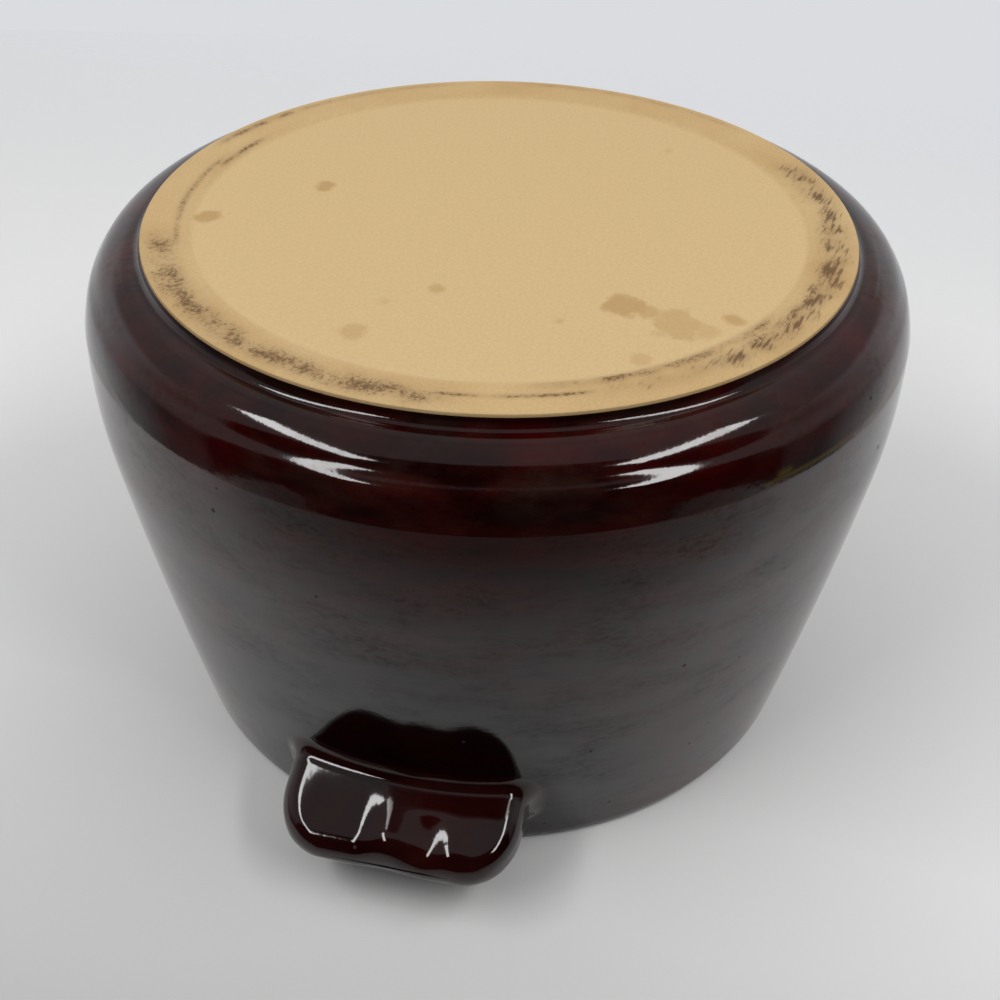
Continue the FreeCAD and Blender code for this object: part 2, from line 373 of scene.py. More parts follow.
# Spots on the foot: where the camera sees them, to the right and down in its picture, their size
# in mm, and strength
STAINS = [
    (208, 213, 2.9, 0.75),
    (325, 183, 2.5, 0.75),
    (350, 328, 3.0, 0.45),
    (437, 285, 1.7, 0.55),
    (625, 303, 4.2, 0.75),
    (649, 309, 2.6, 0.6),
    (679, 321, 5.4, 0.5),
    (705, 329, 3.0, 0.4),
    (735, 317, 2.2, 0.7),
    (640, 355, 2.2, 0.4),
    (384, 298, 1.5, 0.3),
    (560, 318, 1.2, 0.4),
    (668, 148, 1.2, 0.35),
]
PICTURE = 1000  # width and height that such places are counted in
SENSOR = 36.0  # mm

# Soil on the foot's ring: from and to angle as the viewer sees it, 0 being right and 90 away,
# radius of its middle and half its width in mm, and how heavy it is
SOIL = [
    (-170, -98, 75.6, 3.4, 0.95),
    (-150, -112, 75.4, 1.6, 0.55),
    (-160, -146, 78.2, 2.2, 0.7),
    (-200, -165, 72.2, 0.9, 0.9),
    (-212, -196, 70.6, 0.9, 0.9),
    (-226, -206, 77.6, 1.3, 0.9),
    (-260, -224, 77.6, 1.0, 0.55),
    (-106, -76, 74.3, 0.7, 0.95),
    (-84, -66, 71.0, 1.6, 0.6),
    (-76, -40, 70.9, 1.6, 0.95),
    (-64, -30, 75.2, 1.3, 0.6),
    (-50, 4, 73.4, 1.3, 0.9),
    (40, 85, 77.8, 0.8, 0.5),
]
# Scratched-in strokes of soil, given in the same way
STROKES = [
    (-56, 22, 75.0, 3.2, 0.95),
    (-75, -52, 74.5, 2.4, 0.5),
    (-140, -120, 77.0, 2.0, 0.4),
]
SOIL_BACK = 4.0  # degrees before its end at which the soil begins to fade
SOIL_FADE = 5.0  # degrees over which it fades
STROKE_ANGLE = 65.0  # degrees from the viewer's right
STROKE_SIZE = (5 * MM, 0.8 * MM, MM)  # length and width of one stroke


# Where the glaze lies thin: from and to, to the viewer's right of the axis, height over the foot
# and half the width of the band, in mm
THIN = [(50, 92, 15.3, 0.8), (52.5, 56.5, 14.3, 1.3)]


def seen_frame(stage):
    """Turns a place given as (right, away, above) by the viewer into the pot's own axes: the pot
    lies on its mouth, so above is down the pot's axis, and height 0 is its foot."""
    s, c = math.sin(stage.lug_turn), math.cos(stage.lug_turn)
    return Matrix(((-s, -c, 0), (-c, s, 0), (0, 0, -1)))


def camera_place(stage):
    """The camera's place as the viewer sees it."""
    return Vector((stage.camera_right, stage.camera_away, stage.camera_above))


def camera_axes(stage):
    """The camera's right, up and back, as the viewer sees them."""
    s, c = math.sin(stage.pitch), math.cos(stage.pitch)
    right, up, back = Vector((1, 0, 0)), Vector((0, s, c)), Vector((0, -c, s))
    lean_right = right * math.cos(stage.roll) + up * math.sin(stage.roll)
    lean_up = up * math.cos(stage.roll) - right * math.sin(stage.roll)
    return lean_right, lean_up, back


def on_foot(stage, x, y):
    """The place on the foot that the camera sees at x, y of its picture."""
    right, up, back = camera_axes(stage)
    aim = right * (x - PICTURE / 2) + up * (PICTURE / 2 - y) - back * (stage.lens / SENSOR * PICTURE)
    eye = camera_place(stage)
    return eye - aim * (eye.z / aim.z)


def bare_stoneware(pot):
    """Bare fired stoneware: matt, a fine sandy grain, darker and soiled where it stood."""
    look, form = pot.clay, pot.form
    material, add = new_material("bare_buff_stoneware")
    place = add("TexCoord").outputs["Object"]
    flat = add("VectorMath", {0: place, 1: (1, 1, 0)}, operation="MULTIPLY").outputs[0]
    radius = add("VectorMath", {0: flat}, operation="LENGTH").outputs["Value"]
    ring = form.foot_radius - form.ring_width

    cloud = add("TexNoise", {"Vector": place, "Scale": per_metre(35 * MM), "Detail": 3.0}).outputs[0]
    grain = add("TexNoise", {"Vector": place, "Scale": per_metre(0.7 * MM), "Detail": 4.0}).outputs[0]
    on_ring = add(
        "MapRange",
        {0: radius, 1: ring - 1.5 * MM, 2: ring + 1.5 * MM},
        interpolation_type="SMOOTHSTEP",
    ).outputs[0]
    patchy = add("MapRange", {0: cloud, 1: 0.3, 2: 0.7, 3: 0.1, 4: 0.75}).outputs[0]
    worn = add("Math", {0: on_ring, 1: patchy}, operation="MULTIPLY").outputs[0]
    base = add(
        "Mix", {0: worn, 6: look.clay[:], 7: look.worn[:]}, data_type="RGBA"
    ).outputs[2]
    shade = add("MapRange", {0: grain, 1: 0.3, 2: 0.7, 3: 0.93, 4: 1.05}).outputs[0]
    toned = add("VectorMath", {0: base, 3: shade}, operation="SCALE").outputs[0]

    to_pot = seen_frame(pot.stage)
    spots = 0.0
    wobble = add("TexNoise", {"Vector": place, "Scale": per_metre(3.5 * MM), "Detail": 3.0}).outputs[0]
    for x, y, size, strength in STAINS:
        centre = to_pot @ on_foot(pot.stage, x, y)
        gap = add("VectorMath", {0: flat, 1: centre}, operation="DISTANCE").outputs["Value"]
        rim = add(
            "Math", {0: wobble, 1: 1.6 * size * MM, 2: 0.2 * size * MM}, operation="MULTIPLY_ADD"
        ).outputs[0]
        over = add("Math", {0: gap, 1: rim}, operation="SUBTRACT").outputs[0]
        spot = add(
            "MapRange",
            {0: over, 1: 0.8 * MM, 2: -1.2 * MM, 4: 0.8 * strength},
            interpolation_type="SMOOTHSTEP",
        ).outputs[0]
        spots = add("Math", {0: spots, 1: spot}, operation="MAXIMUM").outputs[0]
    stained = add("Mix", {0: spots, 6: toned, 7: look.stain[:]}, data_type="RGBA").outputs[2]

    soil = add("Attribute", attribute_name="soil").outputs["Fac"]
    speck = add(
        "TexNoise", {"Vector": place, "Scale": per_metre(1.0 * MM), "Detail": 5.0, "Roughness": 0.75}
    ).outputs[0]
    patch = add("TexNoise", {"Vector": place, "Scale": per_metre(6 * MM), "Detail": 2.0}).outputs[0]
    stroke = add("Attribute", attribute_name="strokes").outputs["Fac"]
    lean = to_pot @ Vector((cos(STROKE_ANGLE), sin(STROKE_ANGLE), 0))
    drawn = add(
        "Mapping",
        {"Vector": place, "Rotation": (0, 0, math.atan2(lean.y, lean.x)), "Scale": STROKE_SIZE},
        vector_type="TEXTURE",
    ).outputs[0]
    lines = add("TexNoise", {"Vector": drawn, "Scale": 1.0, "Detail": 2.0}).outputs[0]
    patchiness = add("MapRange", {0: patch, 1: 0.3, 2: 0.6, 3: 0.35, 4: 1.0}).outputs[0]
    dirt = 0.0
    for cover, pattern in ((soil, speck), (stroke, lines)):
        amount = add("Math", {0: cover, 1: patchiness}, operation="MULTIPLY").outputs[0]
        level = add("Math", {0: amount, 1: 0.42, 2: pattern}, operation="MULTIPLY_ADD").outputs[0]
        grains = add("MapRange", {0: level, 1: 0.66, 2: 0.92}).outputs[0]
        edge = add("MapRange", {0: amount, 1: 0.02, 2: 0.3}).outputs[0]
        grains = add("Math", {0: grains, 1: edge}, operation="MULTIPLY").outputs[0]
        haze = add("Math", {0: amount, 1: 0.5}, operation="MULTIPLY").outputs[0]
        layer = add("Math", {0: grains, 1: haze}, operation="MAXIMUM").outputs[0]
        dirt = add("Math", {0: dirt, 1: layer}, operation="MAXIMUM").outputs[0]
    grime = add("Math", {0: dirt, 1: 0.85}, operation="MULTIPLY").outputs[0]
    soiled = add("Mix", {0: grime, 6: stained, 7: look.grime[:]}, data_type="RGBA").outputs[2]

    bump = add("Bump", {"Height": grain, "Distance": 0.06 * MM, "Strength": 0.6}).outputs[0]
    surface = add(
        "BsdfPrincipled",
        {"Base Color": soiled, "Roughness": 0.85, "IOR": 1.45, "Normal": bump},
    ).outputs[0]
    add("OutputMaterial", {"Surface": surface})
    return material


def thin_glaze(add, place, pot):
    """How thin the glaze lies: it breaks over the crease on the viewer's right."""
    to_pot = seen_frame(pot.stage)
    across, down = (
        add("VectorMath", {0: place, 1: to_pot @ axis}, operation="DOT_PRODUCT").outputs["Value"]
        for axis in (Vector((1, 0, 0)), UP)
    )
    thin = 0.0
    for low, high, level, half in THIN:
        off = add("Math", {0: down, 1: -level * MM}, operation="SUBTRACT").outputs[0]
        off = add("Math", {0: off}, operation="ABSOLUTE").outputs[0]
        near = add("MapRange", {0: off, 1: half * MM, 2: 0.0}).outputs[0]
        right = add("MapRange", {0: across, 1: low * MM, 2: (low + 1) * MM}).outputs[0]
        left = add("MapRange", {0: across, 1: high * MM, 2: (high - 1) * MM}).outputs[0]
        between = add("Math", {0: right, 1: left}, operation="MULTIPLY").outputs[0]
        band = add("Math", {0: near, 1: between}, operation="MULTIPLY").outputs[0]
        thin = add("Math", {0: thin, 1: band}, operation="MAXIMUM").outputs[0]
    return thin


def painted_lug_shade(add, place, pot):
    """How much shade is painted on the wall around the lugs, darkest near them, for their shade and
    their dark reflection.
    """
    middle = (pot.form.rim_radius, 0, pot.lugs.top - pot.lugs.root / 2)
    mirrored = add("VectorMath", {0: place}, operation="ABSOLUTE").outputs[0]
    gap = add("VectorMath", {0: mirrored, 1: middle}, operation="DISTANCE").outputs["Value"]
    return add(
        "MapRange", {0: gap, 1: 60 * MM, 2: 40 * MM, 4: 0.8}, interpolation_type="SMOOTHSTEP"
    ).outputs[0]


def oxblood_glaze(pot, name, red_share=1.0, gathers=False):
    """Oxblood glaze: deep glass over clay, near black where thick, red and olive where thin. The third
    argument is how much of the red and the film shows, and below 1 it paints shade as a darker copy; the
    fourth says whether shade is painted on the wall around the lugs."""
    look = pot.glaze
    material, add = new_material(name)
    place = add("TexCoord").outputs["Object"]

    streaks = add("Mapping", {"Vector": place, "Scale": (1.0, 1.0, 3.0)}).outputs[0]
    mottle = add(
        "TexNoise", {"Vector": streaks, "Scale": per_metre(16 * MM), "Detail": 4.0}
    ).outputs[0]
    # Below 1, less red shows: painted shade for a darker copy
    red = add("MapRange", {0: mottle, 1: 0.35, 2: 0.75, 4: red_share}).outputs[0]
    body = add("Mix", {0: red, 6: look.dark[:], 7: look.red[:]}, data_type="RGBA").outputs[2]
    rubbed = add("Mapping", {"Vector": place, "Scale": (1.0, 1.0, 2.5)}).outputs[0]
    wear = add(
        "TexNoise", {"Vector": rubbed, "Scale": per_metre(22 * MM), "Detail": 6.0, "Roughness": 0.65}
    ).outputs[0]
    film = add("MapRange", {0: wear, 1: 0.42, 2: 0.72, 4: 0.4 * red_share}).outputs[0]
    fine = add(
        "TexNoise", {"Vector": rubbed, "Scale": per_metre(2.4 * MM), "Detail": 4.0, "Roughness": 0.7}
    ).outputs[0]
    scuff = add("MapRange", {0: fine, 1: 0.42, 2: 0.68, 3: 0.35, 4: 1.0}).outputs[0]
    dull = add("Math", {0: scuff, 1: film}, operation="MULTIPLY").outputs[0]
    shine = add("MapRange", {0: dull, 2: 0.32, 3: 0.52, 4: 0.16}).outputs[0]
    body = add("Mix", {0: film, 6: body, 7: look.film[:]}, data_type="RGBA").outputs[2]
    # Painted shade: darkens the wall around the lugs towards the deep colour
    if gathers:
        thick = painted_lug_shade(add, place, pot)
        body = add("Mix", {0: thick, 6: body, 7: look.deep[:]}, data_type="RGBA").outputs[2]
    body = add(
        "Mix", {0: thin_glaze(add, place, pot), 6: body, 7: look.olive[:]}, data_type="RGBA"
    ).outputs[2]

    flow = add("Mapping", {"Vector": place, "Scale": (1.0, 1.0, 0.2)}).outputs[0]
    run = add("TexNoise", {"Vector": flow, "Scale": per_metre(9 * MM), "Detail": 3.0}).outputs[0]
    skin = add("TexNoise", {"Vector": place, "Scale": per_metre(1.2 * MM), "Detail": 1.0}).outputs[0]
    waves = add("Bump", {"Height": run, "Distance": 0.05 * MM, "Strength": 0.5}).outputs[0]
    peel = add(
        "Bump", {"Height": skin, "Distance": 0.02 * MM, "Strength": 0.5, "Normal": waves}
    ).outputs[0]
    cells = add("TexVoronoi", {"Vector": place, "Scale": per_metre(8 * MM)}).outputs
    kept = add("SeparateXYZ", {0: cells["Color"]}).outputs[0]
    hole = add("Math", {0: kept, 1: 0.07}, operation="MULTIPLY").outputs[0]
    pit = add("Math", {0: cells["Distance"], 1: hole}, operation="LESS_THAN").outputs[0]
    pitted = add(
        "Bump", {"Height": pit, "Distance": 0.12 * MM, "Strength": 1.0, "Normal": peel}, invert=True
    ).outputs[0]
    rough = add("MapRange", {0: pit, 3: look.roughness, 4: 0.6}).outputs[0]
    surface = add(
        "BsdfPrincipled",
        {
            "Base Color": body,
            "Roughness": rough,
            "IOR": 1.5,
            "Specular IOR Level": shine,
            "Normal": pitted,
        },
    ).outputs[0]
    add("OutputMaterial", {"Surface": surface})
    return material


# Pieces


def soil_the_ring(bm, pot):
    """Stores on each vertex of the foot how heavily that place is soiled."""
    to_view = seen_frame(pot.stage).inverted()
    for name, arcs in (("soil", SOIL), ("strokes", STROKES)):
        layer = bm.verts.layers.float.new(name)
        for vert in bm.verts:
            seen = to_view @ vert.co
            amount = 0.0
            if vert.co.z < pot.form.foot_wall:
                turned = math.degrees(math.atan2(seen.y, seen.x))
                radius = Vector((seen.x, seen.y)).length / MM
                for start, end, middle, width, heavy in arcs:
                    off = abs((turned - (start + end) / 2 + 180) % 360 - 180) - (end - start) / 2
                    fade = math.exp(-((max(0.0, off + SOIL_BACK) / SOIL_FADE) ** 2))
                    across = (radius - middle) / width
                    amount = max(amount, heavy * fade * math.exp(-across * across))
            vert[layer] = amount


class BEANPOT_OT_clay_body(bpy.types.Operator):
    """Turn the clay body with its bare foot"""

    bl_idname = "beanpot.clay_body"
    bl_label = "Clay body"

    def execute(self, context):
        pot = context.scene.bean_pot
        form = pot.form
        bm = bmesh.new()
        seat_top = form.height - form.seat_depth - form.coat
        bevel = math.degrees(2 * math.atan(form.recess / form.recess_slope))
        step = form.recess_slope / (2 * sin(bevel))
        ring = form.foot_radius - form.ring_width
        start = bm.verts.new((0, 0, form.recess))
        ring_steps = [
            (0, 2 * form.recess_slope, None),
            (0, step, -bevel),
            (-bevel, step, 0),
            (0, form.ring_width - form.recess_slope / 2 - form.foot_edge, None),
            (0, form.foot_edge, FOOT_HEADING),
        ]
        tip = draw(bm, start, [(0, ring - 2.5 * form.recess_slope, None)], UNSEEN)
        tip = draw(bm, tip, ring_steps, SMALL)
        band = form.glaze_line * 1.5
        tip = draw(bm, tip, [(FOOT_HEADING, band - tip.co.z, None)], SMALL)
        under_glaze = [(180, form.coat, None), (FOOT_HEADING, form.foot_wall - band, None)]
        tip = draw(bm, tip, under_glaze, SMALL)
        tip = draw(bm, tip, shoulder_and_wall(form), UNSEEN, form.coat)
        crest = tip.co.copy()
        floor = bm.verts.new((0, 0, form.floor - form.coat))
        inside = floor_and_wall(form, form.wall - form.coat, seat_top)
        tip = draw(bm, floor, inside, UNSEEN)
        seat = form.rim_radius - form.lip + form.coat
        tip = draw(bm, tip, [(0, seat - tip.co.x, None)], UNSEEN)
        lip = form.lip_round - form.coat
        tip = draw(bm, tip, [(90, form.height - form.coat - lip - tip.co.z, None), (90, lip, 0)], 2 * MM)
        tip = draw(bm, tip, [(0, crest.x - tip.co.x, None)], 2 * MM)
        turn(bm, form.segments)
        soil_the_ring(bm, pot)
        finished("clay_body", bm, bare_stoneware(pot), ["stoneware_body"], 40)
        return {"FINISHED"}


def ripple(form, height):
    """How far the throwing ring on the shoulder stands out at a height: a groove, then a ridge."""
    past = (height - form.groove_height) / form.groove_reach
    above = height - form.ridge_height
    reach = form.ridge_below if above < 0 else form.ridge_above
    return form.ridge * math.exp(-((above / reach) ** 2)) - form.groove * math.exp(-past * past)


RIDGE_BEHIND = 0.2  # share of the throwing ridge that is left on the far side


def uneven(bm, pot):
    """Raises the throwing ridge, most of it on the viewer's side, and lets the wall wander a little
    from true, as thrown and glazed ware does."""
    form = pot.form
    viewer = seen_frame(pot.stage) @ Vector((0, -1, 0))
    bmesh.ops.recalc_face_normals(bm, faces=bm.faces)
    bm.normal_update()
    for vert in bm.verts:
        away = Vector((vert.co.x, vert.co.y, 0)).normalized()
        if vert.co.z > form.foot_wall and vert.normal.dot(away) > 0.2:
            wander = noise.noise(vert.co * per_metre(55 * MM)) - 0.5
            ring = RIDGE_BEHIND + (1 - RIDGE_BEHIND) * max(0.0, away.dot(viewer)) ** 2
            shift = form.unevenness * wander + ring * ripple(form, vert.co.z)
            vert.co += vert.normal * shift


class BEANPOT_OT_glaze_coat(bpy.types.Operator):
    """Turn the coat of glaze outside"""

    bl_idname = "beanpot.glaze_coat"
    bl_label = "Outer glaze"

    def execute(self, context):
        pot = context.scene.bean_pot
        form = pot.form
        bm = bmesh.new()
        line = form.foot_radius + form.glaze_line * cos(FOOT_HEADING) / sin(FOOT_HEADING)
        left = form.foot_wall - form.glaze_line / sin(FOOT_HEADING)
        steps = [(FOOT_HEADING, left, None), *shoulder_and_wall(form)]
        start = bm.verts.new((line, 0, form.glaze_line))
        slope_top = draw(bm, start, steps[:5], 0.35 * MM)
        crest = draw(bm, slope_top, steps[5:], 1.4 * MM)
        inner = bm.verts.new((line - form.coat, 0, form.glaze_line))
        bm.edges.new((start, inner))
        below = draw(bm, inner, steps, UNSEEN, form.coat)
        bm.edges.new((crest, below))
        turn(bm, form.segments)
        uneven(bm, pot)
        # True paints shade on the wall around the lugs
        material = oxblood_glaze(pot, "oxblood_glaze", gathers=True)
        finished("outer_glaze_coat", bm, material, ["outer_glaze"])
        return {"FINISHED"}


class BEANPOT_OT_liner(bpy.types.Operator):
    """Turn the glaze inside, with the ledge for a lid"""

    bl_idname = "beanpot.liner"
    bl_label = "Liner glaze"

    def execute(self, context):
        pot = context.scene.bean_pot
        form = pot.form
        bm = bmesh.new()
        for coat, spacing, edge in ((0, 1.5 * MM, form.seat_edge), (form.coat, UNSEEN, 0.1 * MM)):
            floor = bm.verts.new((0, 0, form.floor - coat))
            seat_top = form.height - form.seat_depth - coat
            tip = draw(bm, floor, floor_and_wall(form, form.wall - coat, seat_top), spacing)
            seat = form.rim_radius - form.lip + coat
            tip = draw(bm, tip, [(0, seat - tip.co.x - edge, None), (0, edge, 90)], SMALL)
            lip = form.lip_round - coat
            climb = form.height - coat - lip - tip.co.z
            tip = draw(bm, tip, [(90, climb, None), (90, lip, 0)], 0.6 * MM)
            crest = form.rim_radius - form.lip_round
            tip = draw(bm, tip, [(0, crest - tip.co.x, None)], 0.6 * MM)
            if coat == 0:
                top = tip
        bm.edges.new((top, tip))
        turn(bm, form.segments)
        material = oxblood_glaze(pot, "liner_glaze")
        finished("liner_glaze_coat", bm, material, ["liner_glaze"])
        return {"FINISHED"}


def wall_tree():
    """The finished outside of the pot, to lay the lugs on."""
    bm = bmesh.new()
    bm.from_mesh(bpy.data.objects["outer_glaze_coat"].data)
    tree = BVHTree.FromBMesh(bm)
    bm.free()
    return tree


class BEANPOT_OT_lugs(bpy.types.Operator):
    """Press the two lug handles and lay them on the wall"""

    bl_idname = "beanpot.lugs"
    bl_label = "Lug handles"

    AROUND = 200
    FILLET_RINGS = 14
    CORNER_RINGS = 22
    SKIRT = 0.05 * MM  # how far the lug reaches under the wall's skin
    SKIRT_FLARE = 0.5 * MM  # how much further than the fillet it spreads there
    # The finger dents along the lug: place in mm and share of their full depth
    DENTS = ((-28, 0.3), (-20, 0.6), (-14.5, 0.3), (-8.5, 0.9), (0, 0), (8, 0.9), (19, 0.9), (28, 1.1))
    OUTWARD_SPACING = 0.8 * MM

    def execute(self, context):
        pot = context.scene.bean_pot
        tree = wall_tree()
        # A darker copy of the glaze, with less red and film, paints shade on the lugs
        material = oxblood_glaze(pot, "oxblood_glaze_shaded_on_lugs", 0.35)
        for side, name in ((1, "right"), (-1, "left")):
            bm = self.press(pot.lugs, pot.form, tree, side)
            nodes = [name + "_lug", name + "_lug_slip"]
            finished(name + "_lug_handle", bm, material, nodes)
        return {"FINISHED"}

    def rings(self, lug, form):
        """Rings of the lug from under the wall's skin to the edge of its outer face: distance from
        the wall and widening by the fillet."""
        out = lug.reach - form.rim_radius
        rings = [(-self.SKIRT, lug.bead + self.SKIRT_FLARE)]
        for i in range(self.FILLET_RINGS + 1):
            around = math.pi / 2 * i / self.FILLET_RINGS
            rings.append((lug.bead * (1 - math.cos(around)), lug.bead * (1 - math.sin(around))))
        straight = out - lug.corner - lug.bead
        pieces = max(1, math.ceil(straight / self.OUTWARD_SPACING))
        rings += [(lug.bead + straight * (i + 1) / pieces, 0.0) for i in range(pieces)]
        for i in range(self.CORNER_RINGS):
            around = math.pi / 2 * (i + 1) / self.CORNER_RINGS
            rings.append((out - lug.corner * (1 - math.sin(around)), 0.0))
        return rings

    def press(self, lug, form, tree, side):
        """One lug, drawn out ring by ring from the wall to its closed outer face."""
        bm = bmesh.new()
        made = bmesh.ops.create_circle(bm, cap_ends=False, segments=self.AROUND, radius=1.0)
        loop = made["verts"]
        roles = [self.role(k, lug) for k in range(self.AROUND)]
        edges = bm.edges[:]
        out = lug.reach - form.rim_radius
        rings = self.rings(lug, form)
        for number, (gap, widening) in enumerate(rings):
            if number:
                made = bmesh.ops.extrude_edge_only(bm, edges=edges)["geom"]
                fresh = {part for part in made if isinstance(part, bmesh.types.BMVert)}
                edges = [
                    part
                    for part in made
                    if isinstance(part, bmesh.types.BMEdge) and fresh.issuperset(part.verts)
                ]
                order = {}
                for vert in fresh:
                    for edge in vert.link_edges:
                        other = edge.other_vert(vert)
                        if other in place_of:
                            order[place_of[other]] = vert
                loop = [order[k] for k in range(self.AROUND)]
            place_of = {vert: k for k, vert in enumerate(loop)}
            for k, vert in enumerate(loop):
                vert.co = self.point(lug, tree, side, roles[k], gap, widening, out)
        bmesh.ops.contextual_create(bm, geom=edges)
        return bm

    def role(self, k, lug):
        """Where vertex k sits on the root's outline: its place on the inner rectangle, as shares of
        half its sides, and the outward direction."""
        half_width, half_height = lug.width / 2, lug.root / 2
        flat_w, flat_h = half_width - lug.edge, half_height - lug.edge
        arc = lug.edge * math.pi / 2
        runs = [2 * flat_h, arc, 2 * flat_w, arc, 2 * flat_h, arc, 2 * flat_w, arc]
        way = sum(runs) * k / self.AROUND
        corners = [(1, 1), (-1, 1), (-1, -1), (1, -1)]
        for number, run in enumerate(runs):
            if way <= run:
                break
            way -= run
        t = way / run
        quarter = number // 2
        if number % 2:
            around = math.radians(90 * (quarter + t))
            a, b = corners[quarter]
            return a, b, math.cos(around), math.sin(around)
        direction = [(1, 0), (0, 1), (-1, 0), (0, -1)][quarter]
        from_corner, to_corner = corners[quarter - 1], corners[quarter]
        a = from_corner[0] + (to_corner[0] - from_corner[0]) * t
        b = from_corner[1] + (to_corner[1] - from_corner[1]) * t
        return a, b, *direction

    def point(self, lug, tree, side, role, gap, widening, out):
        """The place of one vertex, at its distance from the wall, laid on the wall."""
        a, b, n_y, n_z = role
        share_out = min(1.0, max(0.0, gap / out))
        thick = lug.root + (lug.tip - lug.root) * share_out
        into_corner = max(0.0, gap - (out - lug.corner))
        into_edge = max(0.0, gap - (out - lug.edge))
        half_w = lug.width / 2 - lug.corner + math.sqrt(max(0.0, lug.corner**2 - into_corner**2))
        half_h = thick / 2 - lug.edge + math.sqrt(max(0.0, lug.edge**2 - into_edge**2))
        edge = min(lug.edge, half_h)
        y = a * (half_w - edge) + n_y * (edge + widening)
        z = b * (half_h - edge) + n_z * (edge + widening)
        z = lug.top + (z - thick / 2) * (1 - self.dent(lug, y, gap, out) / thick)
        hit = tree.ray_cast(Vector((side * 2 * lug.reach, y, z)), Vector((-side, 0, 0)))[0]
        wall = abs(hit.x)
        stretch = (lug.reach - wall) / out
        return Vector((side * (wall + gap * (stretch if gap > 0 else 1.0)), y, z))

    def dent(self, lug, y, gap, out):
        """Depth of the finger dents on the underside, one broad and two narrow, deeper outwards."""
        ramp = out - (lug.dent_start if y > 0 else lug.dents_start)
        inward = min(1.0, max(0.0, (out - gap) / ramp))
        place = min(max(y / MM, self.DENTS[0][0]), self.DENTS[-1][0])
        for (start, before), (end, after) in zip(self.DENTS, self.DENTS[1:]):
            if place <= end:
                t = (place - start) / (end - start)
                across = before + (after - before) * t * t * (3 - 2 * t)
                return lug.dent_depth * across * (1 - inward * inward)


# Stage

# Middles of the light tent's sides from the pot as the viewer sees them: right, away, above
TENT = {"side": (0.85, 0, 0), "front": (0, -0.20, 0), "back": (0, 0.9, 0), "top": (0, 0, 0.46)}
FADE = (0.2, 0.44)  # how far beyond the axis the table starts and stops fading into the tent's back


def sheet_material(name, tone, roughness, hole=0.0, away=None):
    """A pale sheet that shows only from its front, with a hole for the mouth. away paints light and
    shade
    on it: the direction in which it gets lighter, where it starts and stops doing so, and its least and
    most light."""
    material, add = new_material(name)
    base = linear(tone)
    if away:
        axis, near, far, least, most = away
        place = add("TexCoord").outputs["Object"]
        depth = add("VectorMath", {0: place, 1: axis}, operation="DOT_PRODUCT").outputs["Value"]
        # Painted shade and light: the sheet's colour is scaled from least to most along away
        lit = add("MapRange", {0: depth, 1: near, 2: far, 3: least, 4: most}).outputs[0]
        base = add("VectorMath", {0: base[:3], 3: lit}, operation="SCALE").outputs[0]
    surface = add(
        "BsdfPrincipled", {"Base Color": base, "Roughness": roughness, "IOR": 1.4}
    ).outputs[0]
    clear = add("BsdfTransparent").outputs[0]
    hidden = add("NewGeometry").outputs["Backfacing"]
    if hole:
        place = add("TexCoord").outputs["Object"]
        flat = add("VectorMath", {0: place, 1: (1, 1, 0)}, operation="MULTIPLY").outputs[0]
        radius = add("VectorMath", {0: flat}, operation="LENGTH").outputs["Value"]
        inside = add("Math", {0: radius, 1: hole}, operation="LESS_THAN").outputs[0]
        hidden = add("Math", {0: hidden, 1: inside}, operation="MAXIMUM").outputs[0]
    if away:
        grazing = add("LayerWeight", {"Blend": 0.5}).outputs["Facing"]
        low = add("MapRange", {0: grazing, 1: 0.74, 2: 0.84}).outputs[0]
        beyond = add("MapRange", {0: depth, 1: FADE[0], 2: FADE[1]}).outputs[0]
        low = add("Math", {0: low, 1: beyond}, operation="MAXIMUM").outputs[0]
        seen = add("LightPath").outputs["Is Camera Ray"]
        faint = add("Math", {0: low, 1: seen}, operation="MULTIPLY").outputs[0]
        hidden = add("Math", {0: hidden, 1: faint}, operation="MAXIMUM").outputs[0]
    shown = add("MixShader", {0: hidden, 1: surface, 2: clear}).outputs[0]
    add("OutputMaterial", {"Surface": shown})
    return material


def sheet(name, near, far, height, facing, material, to_pot):
    """A flat stage sheet at a height, facing up or down. near and far are its edges towards and
    beyond the pot as the viewer sees it: half its width, and its place."""
    bm = bmesh.new()
    bmesh.ops.create_grid(bm, x_segments=1, y_segments=1, size=1.0)
    for vert in bm.verts:
        half, away = far if vert.co.y > 0 else near
        vert.co = to_pot @ Vector((math.copysign(half, vert.co.x), away, 0))
        vert.co.z = height
    for face in bm.faces:
        face.normal_update()
        if face.normal.z * facing < 0:
            face.normal_flip()
    mesh = bpy.data.meshes.new(name)
    bm.to_mesh(mesh)
    bm.free()
    mesh.materials.append(material)
    made = bpy.data.objects.new(name, mesh)
    bpy.context.scene.collection.objects.link(made)
    return made


